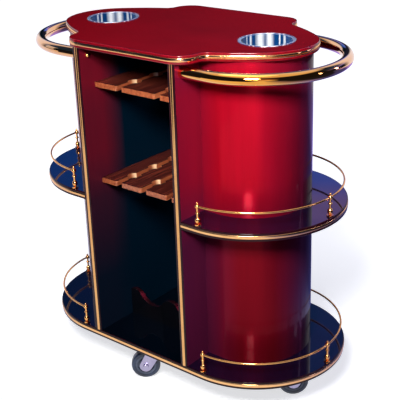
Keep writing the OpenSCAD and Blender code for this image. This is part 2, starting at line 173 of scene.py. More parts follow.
def make_streaks():
    """Soft lines along one direction: brushed metal, drawn lacquer, wood fibres."""
    tree, given, out = new_group(
        "streaks",
        [("Place", "Vector", None), ("Stretch", "Vector", (1, 1, 1)), ("Fineness", "Float", 1.0),
         ("Low", "Float", 0.35), ("High", "Float", 0.65)],
        [("Mask", "Float"), ("Height", "Float")])
    scaled = add(tree, "ShaderNodeVectorMath", {0: given["Place"], 1: given["Stretch"]},
                 operation="MULTIPLY").outputs["Vector"]
    noise = add(tree, "ShaderNodeTexNoise", {"Vector": scaled, "Scale": given["Fineness"],
                                             "Detail": 5.0, "Roughness": 0.6}).outputs["Fac"]
    tree.links.new(ramp(tree, noise, given["Low"], given["High"]), out["Mask"])
    tree.links.new(noise, out["Height"])
    return tree


def make_handling():
    """Faint clouded areas where a cloth and hands have dulled the gloss."""
    tree, given, out = new_group(
        "handling",
        [("Place", "Vector", None), ("Clean", "Float", 0.1), ("Dull", "Float", 0.25),
         ("Cloud Size", "Float", 6.0)],
        [("Roughness", "Float"), ("Mask", "Float")])
    cloud = add(tree, "ShaderNodeTexNoise", {"Vector": given["Place"], "Scale": given["Cloud Size"],
                                             "Detail": 3.0, "Roughness": 0.5}).outputs["Fac"]
    mask = ramp(tree, cloud, 0.42, 0.72)
    spread = calc(tree, "SUBTRACT", given["Dull"], given["Clean"])
    tree.links.new(calc(tree, "MULTIPLY_ADD", mask, spread, given["Clean"]), out["Roughness"])
    tree.links.new(mask, out["Mask"])
    return tree


def make_fine_marks():
    """Hairline marks in all directions and a slight waviness, as a height for a bump."""
    tree, given, out = new_group(
        "fine marks",
        [("Place", "Vector", None), ("Marks", "Float", 0.3), ("Wave Size", "Float", 40.0)],
        [("Height", "Float")])
    wave = add(tree, "ShaderNodeTexNoise", {"Vector": given["Place"], "Scale": given["Wave Size"],
                                            "Detail": 2.0}).outputs["Fac"]
    cells = add(tree, "ShaderNodeTexVoronoi", {"Vector": given["Place"], "Scale": 55.0,
                                               "Randomness": 1.0}, feature="DISTANCE_TO_EDGE")
    hair = ramp(tree, cells.outputs["Distance"], 0.0, 0.012)
    tree.links.new(calc(tree, "MULTIPLY_ADD", hair, given["Marks"], wave), out["Height"])
    return tree


def make_upright_shade():
    """Painted shade on the uprights: darker below the shelves, at the back, under the top, by a
    panel.
    """
    tree, given, out = new_group("upright shade", [("Place", "Vector", None)], [("Mask", "Float")])
    parts = split(tree, given["Place"])
    below = ramp(tree, parts["Z"], SHELF_TOP + 0.08, SHELF_BOTTOM - 0.05, 0.0, 0.6)
    turning = ramp(tree, parts["Y"], -0.11, 0.03, 0.0, 0.8)
    beyond = ramp(tree, parts["Y"], 0.075, 0.125, 1.0, 0.2)
    under_top = ramp(tree, parts["Z"], TOP_BOTTOM - 0.08, TOP_BOTTOM, 0.0, 0.25)
    side = calc(tree, "ABSOLUTE", parts["X"])
    by_panel = ramp(tree, side, PANEL_OUT + 0.05, PANEL_OUT, 0.0, 0.45)
    total = below
    for more in (calc(tree, "MULTIPLY", turning, beyond), under_top, by_panel):
        rest = calc(tree, "SUBTRACT", 1.0, total)
        total = calc(tree, "MULTIPLY_ADD", more, rest, total)
    tree.links.new(total, out["Mask"])
    return tree


def make_depth(streaks):
    """Drawn-out light and dark in the depth of a lacquer, broad and fine together."""
    tree, given, out = new_group(
        "lacquer depth", [("Place", "Vector", None), ("Stretch", "Vector", (1, 1, 1))],
        [("Mask", "Float")])
    drawn = {"Place": given["Place"], "Stretch": given["Stretch"]}
    broad = use(tree, streaks, Fineness=3.0, Low=0.3, High=0.7, **drawn)["Mask"]
    fine = use(tree, streaks, Fineness=38.0, Low=0.25, High=0.8, **drawn)["Mask"]
    both = calc(tree, "MULTIPLY_ADD", broad, 0.7, calc(tree, "MULTIPLY", fine, 0.3))
    tree.links.new(both, out["Mask"])
    return tree


STREAKS, HANDLING, FINE_MARKS = make_streaks(), make_handling(), make_fine_marks()
UPRIGHT_SHADE, DEPTH = make_upright_shade(), make_depth(STREAKS)


# ---- tones, linear

CRIMSON = (0.4, 0.003, 0.014), (0.52, 0.004, 0.019)
TOP_CRIMSON = (0.2, 0.002, 0.006), (0.28, 0.003, 0.010)
# painted light on the top, towards its left end and its back
TOP_PAINTED_LIGHT = (0.34, 0.002, 0.007)
# painted shade on the drums: dark wine, and below the shelves red in the middle and violet at the
# sides
DRUM_SHADE_DARK = (0.022, 0.006, 0.03)
DRUM_SHADE_RED = (0.03, 0.003, 0.006)
DRUM_SHADE_VIOLET = (0.022, 0.012, 0.05)
# painted shade on the panels: violet outside the bay, near black inside it
PANEL_OUTER_SHADE = (0.02, 0.016, 0.07)
PANEL_BAY_SHADE = (0.001, 0.014, 0.032)
# painted shade on the boards inside the bay
BOARD_BAY_SHADE = (0.0008, 0.0025, 0.006)
# painted highlight along the cradles' crest
CREST_HIGHLIGHT_RED = (0.15, 0.01, 0.025)

# painted reflection on the wells' walls: dark blue and white bands
STEEL_REFLECTED_BLUE = (0.003, 0.055, 0.2)
STEEL_REFLECTED_WHITE = (0.98, 0.99, 1.0)
STEEL_FLAT = (0.26, 0.32, 0.46), (0.5, 0.56, 0.7)

WOOD_FIBRES = (0.022, 0.004, 0.004), (0.26, 0.045, 0.024)
WOOD_RING = (0.05, 0.008, 0.007)
WOOD_CUT = (0.26, 0.05, 0.02), (0.6, 0.17, 0.06)
# painted highlights on the seats' walls and the eased edges
WOOD_SEAT_HIGHLIGHT = (0.98, 0.62, 0.34)
WOOD_EDGE_HIGHLIGHT = (0.95, 0.42, 0.2)

# painted shade: the walls of the bay are red as far as the first depth and near black from the second
# one
BAY_LIT = (-0.155, -0.09)
# from height, to height, and the share of their red that the painted shade leaves below
BAY_LEVELS = ((0.7, 0.8, 0.8), (0.48, 0.6, 0.32), (0.26, 0.48, 0.1))

# direction in which the painted reflection's light bands follow each other across a well's wall, and
# how uneven they are
BAND_TURN = math.radians(40)
BAND_UNEVEN = 0.004
# start, full, fade and end of a painted reflection band from the well's middle, and the light left
# before it
WELL_REFLECTION_BANDS = ((0.003, 0.011, 0.015, 0.025, 0.15), (0.032, 0.0345, 0.0355, 0.038, 0.0),
              (0.042, 0.044, 0.0445, 0.0465, 0.0))


# ---- finishes

def start_finish(name, **constants):
    material = bpy.data.materials.new(name)
    material.use_nodes = True
    tree = material.node_tree
    shader = tree.nodes["Principled BSDF"]
    for key, value in constants.items():
        shader.inputs[key.replace("_", " ")].default_value = value
    place = tree.nodes.new("ShaderNodeTexCoord").outputs["Object"]
    return material, tree, shader, place


def bump(tree, shader, height, strength, depth):
    node = add(tree, "ShaderNodeBump", {"Height": height, "Strength": strength, "Distance": depth})
    tree.links.new(node.outputs["Normal"], shader.inputs["Normal"])


def facing(tree):
    """Which way the surface faces on the object itself."""
    return split(tree, tree.nodes.new("ShaderNodeTexCoord").outputs["Normal"])


def grazing(tree, low, high, least=0.0):
    """Grows towards the outline of a round piece, for the weight of a clear coat."""
    turned = add(tree, "ShaderNodeLayerWeight", {"Blend": 0.5}).outputs["Facing"]
    return ramp(tree, turned, low, high, least, 1.0)


def within(tree, place, half):
    """The part of the cart that is nearer to its middle than a given distance."""
    return calc(tree, "LESS_THAN", calc(tree, "ABSOLUTE", split(tree, place)["X"]), half)


# Mask of the painted shade on the drums and on the panels' outer faces.
def drum_shade(tree, place):
    return use(tree, UPRIGHT_SHADE, Place=place)["Mask"]


def drum_shade_colour(tree, place):
    """The colour of the drums' painted shade: below the shelves deep red in the middle and violet at
    both sides.
    """
    parts = split(tree, place)
    by_panel = ramp(tree, calc(tree, "ABSOLUTE", parts["X"]), 0.25, 0.18)
    at_back = ramp(tree, parts["Y"], -0.08, -0.01)
    lower = blend_colours(tree, calc(tree, "MAXIMUM", by_panel, at_back), DRUM_SHADE_RED, DRUM_SHADE_VIOLET)
    return blend_colours(tree, ramp(tree, parts["Z"], SHELF_TOP, SHELF_BOTTOM), DRUM_SHADE_DARK, lower)


def panel_shade(tree, place):
    """Painted shade on the panels: as for the drums outside; inside the bay the lacquer passes into
    near black.
    """
    parts = split(tree, place)
    lit = ramp(tree, parts["Y"], *BAY_LIT, 1.0, 0.0)
    for low, high, share in BAY_LEVELS:
        lit = calc(tree, "MULTIPLY", lit, ramp(tree, parts["Z"], low, high, share, 1.0))
    bay = ramp(tree, lit, 0.0, 1.0, 1.0, 0.5)
    outer = ramp(tree, drum_shade(tree, place), 0.2, 1.0)
    mix = add(tree, "ShaderNodeMix", {0: within(tree, place, BAY_HALF + MM), "A": outer, "B": bay})
    return mix.outputs[0]


def panel_shade_colour(tree, place):
    """The colour of the panels' painted shade: near black inside the bay and violet outside it."""
    return blend_colours(tree, within(tree, place, BAY_HALF + MM), PANEL_OUTER_SHADE, PANEL_BAY_SHADE)


def bay_shade(tree, place):
    """Painted shade on the board's floor inside the bay."""
    return within(tree, place, PANEL_OUT)


def crest_highlight(tree, _place):
    """Painted highlight on the rounded upper edge of a board, where the lacquer would catch the
    light.
    """
    level = facing(tree)["Z"]
    turned_up, flat = ramp(tree, level, 0.15, 0.45), ramp(tree, level, 0.6, 0.9, 1.0, 0.1)
    return calc(tree, "MULTIPLY", turned_up, flat)


def top_painted_light(tree, place):
    """Painted light: the top's lacquer is brighter towards the left end and the back."""
    parts = split(tree, place)
    left, back = ramp(tree, parts["X"], 0.05, -0.35), ramp(tree, parts["Y"], 0.0, 0.2)
    return calc(tree, "MAXIMUM", left, back)


def lacquer(name, deep, bright, stretch, clean=0.16, dull=0.3, metallic=0.0, coat=1.0, coat_ior=1.3,
            shade=None, shaded=None, thin_coat=False):
    """Coloured lacquer under a clear coat, with drawn-out light and dark in its depth.

    shade gives where the tone passes into shaded, which is a colour or a function that makes one;
    with them the drums, panels and boards get painted shade, and the top and the cradles' crest
    painted light.
    """
    material, tree, shader, place = start_finish(
        name, Metallic=metallic, Coat_Roughness=0.05, Coat_IOR=coat_ior, Specular_IOR_Level=0.0)
    depth = use(tree, DEPTH, Place=place, Stretch=stretch)["Mask"]
    tone = blend_colours(tree, depth, deep, bright)
    if shade:
        dark = shaded(tree, place) if callable(shaded) else shaded
        tone = blend_colours(tree, shade(tree, place), tone, dark)
    tree.links.new(tone, shader.inputs["Base Color"])
    worn = use(tree, HANDLING, Place=place, Clean=clean, Dull=dull, Cloud_Size=7.0)
    tree.links.new(worn["Roughness"], shader.inputs["Roughness"])
    gloss = ramp(tree, worn["Mask"], 0.0, 1.0, coat, coat * 0.85)
    if thin_coat:
        gloss = calc(tree, "MULTIPLY", gloss, grazing(tree, 0.3, 0.75, least=0.3))
    tree.links.new(gloss, shader.inputs["Coat Weight"])
    marks = use(tree, FINE_MARKS, Place=place, Marks=0.12, Wave_Size=26.0)
    bump(tree, shader, marks["Height"], strength=0.03, depth=0.0008)
    return material


def polished(name, tone, shade, clean, dull, fineness=60.0, varnish=False):
    """Polished metal with faint polishing lines and clouded patches, thinly varnished if asked."""
    material, tree, shader, place = start_finish(name, Metallic=1.0, Coat_IOR=2.4,
                                                 Coat_Roughness=0.03)
    if varnish:
        tree.links.new(grazing(tree, 0.2, 0.5), shader.inputs["Coat Weight"])
    lines = use(tree, STREAKS, Place=place, Fineness=fineness, Low=0.3, High=0.75)["Mask"]
    worn = use(tree, HANDLING, Place=place, Clean=clean, Dull=dull, Cloud_Size=11.0)
    tint = calc(tree, "MULTIPLY", lines, worn["Mask"])
    tree.links.new(blend_colours(tree, tint, tone, shade), shader.inputs["Base Color"])
    tree.links.new(worn["Roughness"], shader.inputs["Roughness"])
    marks = use(tree, FINE_MARKS, Place=place, Marks=0.1, Wave_Size=30.0)
    bump(tree, shader, marks["Height"], strength=0.05, depth=0.001)
    return material


def well_reflection_bands(tree, place):
    """Painted reflection on a well's wall: on each side of its middle a broad light band and two thin
    ones.
    """
    parts = split(tree, place)
    from_well = calc(tree, "MULTIPLY_ADD", calc(tree, "SIGN", parts["X"]), -WELL_X, parts["X"])
    turned = calc(tree, "MULTIPLY", from_well, math.cos(BAND_TURN))
    across = calc(tree, "MULTIPLY_ADD", parts["Y"], math.sin(BAND_TURN), turned)
    uneven = use(tree, STREAKS, Place=place, Stretch=(60, 60, 1.0), Fineness=1.1, Low=0.3, High=0.7)
    off = calc(tree, "MULTIPLY_ADD", uneven["Mask"], BAND_UNEVEN, calc(tree, "ABSOLUTE", across))
    light = 0.0
    for start, full, fade, end, least in WELL_REFLECTION_BANDS:
        band = calc(tree, "MULTIPLY", ramp(tree, off, start, full, least, 1.0),
                    ramp(tree, off, fade, end, 1.0, 0.0))
        light = calc(tree, "MAXIMUM", light, band)
    return light


def spun_steel():
    """Spun stainless steel: painted reflections as upright light and dark bands, with fine lines
    round the wall.
    """
    material, tree, shader, place = start_finish("spun_stainless", Metallic=0.3)
    rings = use(tree, STREAKS, Place=place, Stretch=(4, 4, 260), Fineness=6.0, Low=0.3, High=0.7)
    wall = blend_colours(tree, well_reflection_bands(tree, place), STEEL_REFLECTED_BLUE, STEEL_REFLECTED_WHITE)
    flat = blend_colours(tree, rings["Mask"], *STEEL_FLAT)
    level = ramp(tree, facing(tree)["Z"], 0.6, 0.9)
    tree.links.new(blend_colours(tree, level, wall, flat), shader.inputs["Base Color"])
    tree.links.new(ramp(tree, rings["Mask"], 0.0, 1.0, 0.16, 0.3), shader.inputs["Roughness"])
    bump(tree, shader, rings["Height"], strength=0.1, depth=0.0004)
    return material


def varnished_wood():
    """Stained wood with grain along the rack's depth, paler on its cut edges, under varnish, with
    painted highlights on the eased edges and the seats' walls.
    """
    material, tree, shader, place = start_finish("varnished_wood", Coat_Roughness=0.08,
                                                 Specular_IOR_Level=0.0)
    fibres = use(tree, STREAKS, Place=place, Stretch=(90, 4, 60), Fineness=2.2, Low=0.3, High=0.72)
    rings = use(tree, STREAKS, Place=place, Stretch=(26, 1.4, 20), Fineness=1.6, Low=0.35, High=0.65)
    grain = blend_colours(tree, fibres["Mask"], *WOOD_FIBRES)
    face = blend_colours(tree, rings["Mask"], grain, WOOD_RING)
    cut = blend_colours(tree, fibres["Mask"], *WOOD_CUT)
    turned = facing(tree)
    level = calc(tree, "ABSOLUTE", turned["Z"])
    inside = calc(tree, "GREATER_THAN", split(tree, place)["Y"], RACK_FRONT + 6 * MM)
    # painted highlights: the seats' walls that face the front, then the eased edges
    seat_highlight = calc(tree, "MULTIPLY", inside, ramp(tree, turned["Y"], -0.25, -0.8))
    walls = blend_colours(tree, seat_highlight, cut, WOOD_SEAT_HIGHLIGHT)
    eased = blend_colours(tree, ramp(tree, level, 0.12, 0.4), walls, WOOD_EDGE_HIGHLIGHT)
    tone = blend_colours(tree, ramp(tree, level, 0.75, 0.97), eased, face)
    tree.links.new(tone, shader.inputs["Base Color"])
    worn = use(tree, HANDLING, Place=place, Clean=0.3, Dull=0.45, Cloud_Size=9.0)
    tree.links.new(worn["Roughness"], shader.inputs["Roughness"])
    tree.links.new(ramp(tree, worn["Mask"], 0.0, 1.0, 1.0, 0.7), shader.inputs["Coat Weight"])
    bump(tree, shader, fibres["Height"], strength=0.12, depth=0.0006)
    return material


def moulded(name, tone, shade, clean, dull, grain):
    """Moulded plastic or rubber with a fine skin and scuffed, dusty patches."""
    material, tree, shader, place = start_finish(name, Coat_Weight=0.5, Coat_Roughness=0.15)
    dust = use(tree, HANDLING, Place=place, Clean=clean, Dull=dull, Cloud_Size=38.0)
    skin = use(tree, FINE_MARKS, Place=place, Marks=0.2, Wave_Size=grain)
    tree.links.new(blend_colours(tree, dust["Mask"], tone, shade), shader.inputs["Base Color"])
    tree.links.new(dust["Roughness"], shader.inputs["Roughness"])
    bump(tree, shader, skin["Height"], strength=0.2, depth=0.0004)
    return material


CRIMSON_DRUM = lacquer("crimson_drum", *CRIMSON, (9, 9, 0.6), clean=0.3, dull=0.36, metallic=0.35,
                       coat_ior=1.16, shade=drum_shade, shaded=drum_shade_colour, thin_coat=True)
CRIMSON_PANEL = lacquer("crimson_panel", *CRIMSON, (9, 9, 0.6), clean=0.3, dull=0.36, metallic=0.3,
                        coat_ior=1.16, shade=panel_shade, shaded=panel_shade_colour, thin_coat=True)
CRIMSON_TOP = lacquer("crimson_top", *TOP_CRIMSON, (2.2, 3.0, 2.2), clean=0.3, dull=0.4,
                      shade=top_painted_light, shaded=TOP_PAINTED_LIGHT)
BAY_DARK = lacquer("bay_dark", (0.003, 0.024, 0.07), (0.005, 0.04, 0.12), (5, 5, 0.8), clean=0.25,
                   coat=0.5)
# painted shade: the cradles' crimson lacquer is set near black for the shade inside the bay
CRADLE = lacquer("cradle_shaded_wine", (0.002, 0.003, 0.004), (0.005, 0.003, 0.004), (6, 6, 6), clean=0.1,
                 dull=0.2, coat_ior=2.0, shade=crest_highlight, shaded=CREST_HIGHLIGHT_RED)
WINE_BOARD = lacquer("wine_board", (0.003, 0.003, 0.014), (0.009, 0.004, 0.024), (3, 3, 3),
                     clean=0.12, coat_ior=2.0, shade=bay_shade, shaded=BOARD_BAY_SHADE)
LIP = lacquer("edging_lip", (0.012, 0.001, 0.003), (0.035, 0.002, 0.006), (30, 30, 30), clean=0.12)
CRIMSON_LIP = lacquer("crimson_lip", (0.16, 0.001, 0.005), (0.3, 0.003, 0.01), (30, 30, 30),
                      clean=0.1, coat_ior=1.5)
GOLD = polished("gold_bead", (0.95, 0.53, 0.24), (0.8, 0.36, 0.12), clean=0.12, dull=0.25)
# painted shade: a darker copy of the gold bead for the upright edges
UPRIGHT_GOLD_SHADED = polished("upright_bead_shaded", (0.82, 0.43, 0.17), (0.62, 0.27, 0.09), clean=0.12, dull=0.25)
BRASS = polished("polished_brass", (0.95, 0.47, 0.16), (0.75, 0.31, 0.08), clean=0.08, dull=0.2)
HANDLE = polished("handle_tube", (0.86, 0.38, 0.07), (0.7, 0.26, 0.035), clean=0.035, dull=0.09,
                  varnish=True)
PLATED = polished("plated_steel", (0.46, 0.42, 0.6), (0.16, 0.15, 0.27), clean=0.16, dull=0.35,
                  fineness=200.0)
STAINLESS = spun_steel()
WOOD = varnished_wood()
TYRE = moulded("grey_tyre", (0.012, 0.022, 0.05), (0.05, 0.075, 0.14), clean=0.35, dull=0.6,
               grain=900.0)
HUB = moulded("grey_hub", (0.06, 0.08, 0.13), (0.14, 0.17, 0.24), clean=0.35, dull=0.6, grain=600.0)
RECESS = moulded("screw_recess", (0.02, 0.02, 0.025), (0.05, 0.05, 0.06), clean=0.5, dull=0.8,
                 grain=500.0)

# widths of the eased edges
PLAIN_EDGE, FINE_EDGE, RACK_EDGE, CRADLE_EDGE = 0.0, 0.4 * MM, 2.5 * MM, 4 * MM


def dress(material, edge_width, *nodes):
    """Puts a finish on CAD parts and rounds their sharp edges a little."""
    for name in nodes:
        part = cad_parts[name]
        if not part.material_slots:
            part.data.materials.append(material)
        for slot in part.material_slots:
            slot.link = "OBJECT"
            slot.material = material
        if edge_width:
            part.modifiers.new("joined corners", "WELD").merge_threshold = 0.01 * MM
            edge = part.modifiers.new("eased edges", "BEVEL")
            edge.width = edge_width
            edge.segments = 3
            edge.limit_method = "ANGLE"
            edge.angle_limit = math.radians(40)
            edge.harden_normals = True


dress(CRIMSON_PANEL, FINE_EDGE, "left_side_panel", "right_side_panel")
dress(CRIMSON_DRUM, FINE_EDGE, *[side + "_" + level + "_drum" for side in SIDES
                                 for level in ("lower", "upper")])
dress(CRIMSON_TOP, PLAIN_EDGE, "top_board")
dress(BAY_DARK, PLAIN_EDGE, "back_panel")
dress(CRADLE, CRADLE_EDGE, "front_bottle_cradle", "back_bottle_cradle")
dress(WINE_BOARD, PLAIN_EDGE, "base_board", "left_mid_shelf", "right_mid_shelf")
dress(STAINLESS, PLAIN_EDGE, "left_well", "right_well")
dress(HANDLE, PLAIN_EDGE, "left_handle", "right_handle")
dress(BRASS, PLAIN_EDGE, "handle_bolts", *[side + "_" + level + "_" + kind for side in SIDES
                                           for level in ("base", "shelf")
                                           for kind in ("rail", "spindles")])
dress(WOOD, RACK_EDGE, "upper_stemware_rack", "lower_stemware_rack")
dress(PLATED, FINE_EDGE, "caster_plates", *[wheel + "_caster_" + kind for wheel in WHEELS
                                            for kind in ("fork", "axle")])
dress(HUB, FINE_EDGE, *[wheel + "_caster_hub" for wheel in WHEELS])
dress(TYRE, PLAIN_EDGE, *[wheel + "_caster_tyre" for wheel in WHEELS])


# ---- edging: a dark lip with a gold bead along its middle

def arc(centre, radius, start, end, steps):
    """Points of an arc with the direction away from the board; a negative radius is a hollow."""
    points = []
    for step in range(steps + 1):
        turn = math.radians(start + (end - start) * step / steps)
        way = Vector((math.cos(turn), math.sin(turn)))
        points.append((Vector(centre) + abs(radius) * way, way if radius > 0 else -way))
    return points


def mirrored(path):
    """The same path at the left end, in the order that carries on round the board."""
    return [(Vector((-p.x, p.y)), Vector((-n.x, n.y))) for p, n in reversed(path)]


def direction(a, b):
    return math.degrees(math.atan2(b.y - a.y, b.x - a.x))


def round_end():
    return arc((STRAIGHT, 0), BASE_HALF, -90, 90, steps=72)


def base_path():
    right = round_end()
    return right + mirrored(right)


def shelf_path(side):
    """The half-round edge of a shelf, from the side panel round to the side panel."""
    front = [(Vector((PANEL_OUT, -BASE_HALF)), Vector((0, -1)))]
    back = [(Vector((PANEL_OUT, BASE_HALF)), Vector((0, 1)))]
    path = front + round_end() + back
    return path if side == "right" else mirrored(path)


def top_path():
    """Outline of the top, round the right end from front to back and then the left end."""
    shoulder = Vector((BLOCK_HALF - SHOULDER_R, TOP_HALF - SHOULDER_R))
    tip = Vector((TOP_LENGTH - TIP_R, 0))
    turn = math.radians(FLANK_TURN)
    flank = tip - (FLANK_R - TIP_R) * Vector((math.cos(turn), math.sin(turn)))
    near, far = SHOULDER_R + HOLLOW_R, FLANK_R + HOLLOW_R
    between = flank - shoulder
    gap = between.length
    to_foot = (near * near - far * far + gap * gap) / (2 * gap)
    rise = math.sqrt(near * near - to_foot * to_foot)
    unit = between / gap
    hollow = shoulder + to_foot * unit + rise * Vector((-unit.y, unit.x))
    hollow_start, hollow_end = direction(hollow, flank), direction(hollow, shoulder)
    if hollow_start > 0:
        hollow_start -= 360
    if hollow_end > 0:
        hollow_end -= 360
    quarter = arc(tip, TIP_R, 0, FLANK_TURN, steps=30)
    quarter += arc(flank, FLANK_R, FLANK_TURN, direction(flank, hollow), steps=20)
    quarter += arc(hollow, -HOLLOW_R, hollow_start, hollow_end, steps=12)
    quarter += arc(shoulder, SHOULDER_R, direction(shoulder, hollow), 90, steps=20)
    front = [(Vector((p.x, -p.y)), Vector((n.x, -n.y))) for p, n in reversed(quarter)]
    right = front + quarter[1:]
    return right + mirrored(right)


# each corner of the section: inwards from the face, up from the lower edge, both in mm
SECTION_HEIGHT = 19.0
LIP_SECTION = [(3.2, 0.0), (1.8, 0.0), (1.15, 0.3), (0.95, 0.9), (0.95, 4.9), (1.5, 5.3),
               (1.5, 13.7), (0.95, 14.1), (0.95, 17.6), (1.2, 18.5), (1.9, 19.0), (3.2, 19.0)]
BEAD_SECTION = [(1.5, 5.3), (1.0, 5.5), (0.45, 6.2), (0.12, 7.4), (0.0, 9.5), (0.12, 11.6),
                (0.45, 12.8), (1.0, 13.5), (1.5, 13.7)]


def finish_mesh(name, shape, sharp_over):
    """Turns a drawn shape into an object in the scene, smooth apart from its sharp edges."""
    mesh = bpy.data.meshes.new(name)
    bmesh.ops.recalc_face_normals(shape, faces=shape.faces)
    shape.to_mesh(mesh)
    shape.free()
    mesh.set_sharp_from_angle(angle=math.radians(sharp_over))
    made = bpy.data.objects.new(name, mesh)
    bpy.context.collection.objects.link(made)
    return made


def loft(name, stations, closed):
    """Runs the edging's sections along a path. A station is (point, inward, upward) as vectors."""
    shape = bmesh.new()
    for slot, section in enumerate((LIP_SECTION, BEAD_SECTION)):
        rings = [[shape.verts.new(point + inward * (a * MM) + upward * (b * MM)) for a, b in section]
                 for point, inward, upward in stations]
        pairs = list(zip(rings, rings[1:]))
        if closed:
            pairs.append((rings[-1], rings[0]))
        for one, two in pairs:
            for k in range(len(section)):
                m = (k + 1) % len(section)
                face = shape.faces.new((one[k], one[m], two[m], two[k]))
                face.material_index = slot
                face.smooth = True
        if not closed:
            for ring in (rings[0], rings[-1]):
                shape.faces.new(ring).material_index = slot
    return finish_mesh(name, shape, sharp_over=50)


def finish_edging(strip, lip, bead, node):
    strip.data.materials.append(lip)
    strip.data.materials.append(bead)
    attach(strip, "cart")
    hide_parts(node)


def round_edging(name, node, path, low, lip, closed):
    upward = Vector((0, 0, BOARD / (SECTION_HEIGHT * MM)))
    stations = [(Vector((p.x, p.y, low)), Vector((-n.x, -n.y, 0)), upward) for p, n in path]
    finish_edging(loft(name, stations, closed), lip, GOLD, node)


round_edging("base_edging", "base_edge_trim", base_path(), BASE_BOTTOM, LIP, closed=True)
round_edging("top_edging", "top_edge_trim", top_path(), TOP_BOTTOM, CRIMSON_LIP, closed=True)
for side in SIDES:
    round_edging(side + "_shelf_edging", side + "_mid_shelf_trim", shelf_path(side), SHELF_BOTTOM,
                 LIP, closed=False)

for side, corner in (("left", -PANEL_OUT), ("right", BAY_HALF)):
    for end, outward in (("front", -1), ("back", 1)):
        inward, across = Vector((0, -outward, 0)), Vector((1, 0, 0))
        stations = [(Vector((corner, outward * BASE_HALF, z)), inward, across)
                    for z in (BASE_TOP, SHELF_TOP, TOP_BOTTOM)]
        strip = loft(side + "_" + end + "_panel_edging", stations, closed=False)
        finish_edging(strip, LIP, UPRIGHT_GOLD_SHADED, side + "_" + end + "_panel_trim")


# ---- small fasteners of the casters, in mm

SCREW_OUT = 24.0
SCREW_TURN, NEXT_TURN = 17, 41
SCREW_HEAD = [(0, -2.3), (1.8, -2.2), (3.2, -1.6), (4.1, -0.7), (4.4, 0.0), (0, 0.0)]
CROSS_LONG, CROSS_WIDE, CROSS_DEEP = 4.6, 0.9, 1.6
CUP_LIP = [(24.0, 1.0), (24.8, 1.2), (25.2, 2.0), (24.8, 2.8), (24.0, 3.0)]


def lathe(name, section, steps, material):
    """Turns a section of (radius, height) round Z."""
    shape = bmesh.new()
    rings = []
    for r, z in section:
        turns = [math.tau * k / steps for k in range(steps if r > 0 else 1)]
        rings.append([shape.verts.new((r * MM * math.cos(turn), r * MM * math.sin(turn), z * MM))
                      for turn in turns])
    for one, two in zip(rings, rings[1:]):
        for k in range(steps):
            m = (k + 1) % steps
            corners = [one[k % len(one)], one[m % len(one)], two[m % len(two)], two[k % len(two)]]
            unique = list(dict.fromkeys(corners))
            if len(unique) > 2:
                shape.faces.new(unique).smooth = True
    made = finish_mesh(name, shape, sharp_over=40)
    made.data.materials.append(material)
    return made


def cross_head():
    """Pan head of a wood screw, head down, with a cross recess cut into it."""
    head = lathe("screw_head", SCREW_HEAD, steps=28, material=PLATED)
    cutter_mesh = bpy.data.meshes.new("recess")
    shape = bmesh.new()
    for long_x, long_y in ((CROSS_LONG, CROSS_WIDE), (CROSS_WIDE, CROSS_LONG)):
        made = bmesh.ops.create_cube(shape, size=1.0)
        bmesh.ops.scale(shape, vec=(long_x * MM, long_y * MM, CROSS_DEEP * MM), verts=made["verts"])
        bmesh.ops.translate(shape, vec=(0, 0, SCREW_HEAD[0][1] * MM), verts=made["verts"])
    shape.to_mesh(cutter_mesh)
    shape.free()
    cutter_mesh.materials.append(RECESS)
    cutter = bpy.data.objects.new("recess", cutter_mesh)
    bpy.context.collection.objects.link(cutter)
    cut = head.modifiers.new("recess", "BOOLEAN")
    cut.object = cutter
    cut.operation = "DIFFERENCE"
    cut.use_self = True
    bpy.context.view_layer.update()
    finished = head.evaluated_get(bpy.context.evaluated_depsgraph_get())
    mesh = bpy.data.meshes.new_from_object(finished)
    bpy.data.objects.remove(cutter)
    bpy.data.objects.remove(head)
    return mesh


def caster_trimmings():
    """Four screws and the rolled lip of the bearing cup at each caster."""
    screw_mesh = cross_head()
    for wheel in WHEELS:
        x = {"left": -CASTER_X, "right": CASTER_X}.get(wheel, 0.0)
        y = {"front": -CASTER_Y, "back": CASTER_Y}.get(wheel, 0.0)
        for number, (a, b) in enumerate(((-1, -1), (1, -1), (1, 1), (-1, 1))):
            screw = bpy.data.objects.new("%s_caster_screw_%d" % (wheel, number + 1), screw_mesh)
            bpy.context.collection.objects.link(screw)
            screw.location = (x + a * SCREW_OUT * MM, y + b * SCREW_OUT * MM, PLATE_LOW)
            screw.rotation_euler.z = math.radians(SCREW_TURN + NEXT_TURN * number)
            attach(screw, "cart")
        lip = lathe(wheel + "_cup_lip", CUP_LIP, steps=64, material=PLATED)
        lip.location = (x, y, span(wheel + "_caster_fork", 2)[1])
        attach(lip, "cart")


caster_trimmings()


# ---- floor, room, lamps and camera

# level directions away from the camera and to its right
BEHIND = (-0.65, 0.76, 0)
ACROSS = (0.76, 0.65, 0)
FLOOR_HALF = 9.0
WHITE = (1, 1, 1)
PALE = (0.95, 0.93, 1.0)
PALE_BLUE = (0.9, 0.9, 1)
FLOOR_DARK = (0.012, 0.014, 0.035)
ROOM_DARK = (0.012, 0.014, 0.03)
ROOM_BLUE = (0.14, 0.24, 1.1)
ROOM_NAVY = (0.03, 0.08, 0.3)
# what gloss shows of the room beyond the cart and of its front side, by the height of the ray
BACK_ROOM = ((0.27, ROOM_DARK), (0.32, ROOM_BLUE), (0.365, ROOM_BLUE), (0.385, (0.48, 0.3, 0.75)),
             (0.41, (0.4, 0.25, 0.7)), (0.45, ROOM_NAVY), (0.53, ROOM_NAVY), (0.72, ROOM_DARK),
             (0.8, PALE_BLUE))
FRONT_ROOM = ((0.72, ROOM_DARK), (0.8, PALE_BLUE))


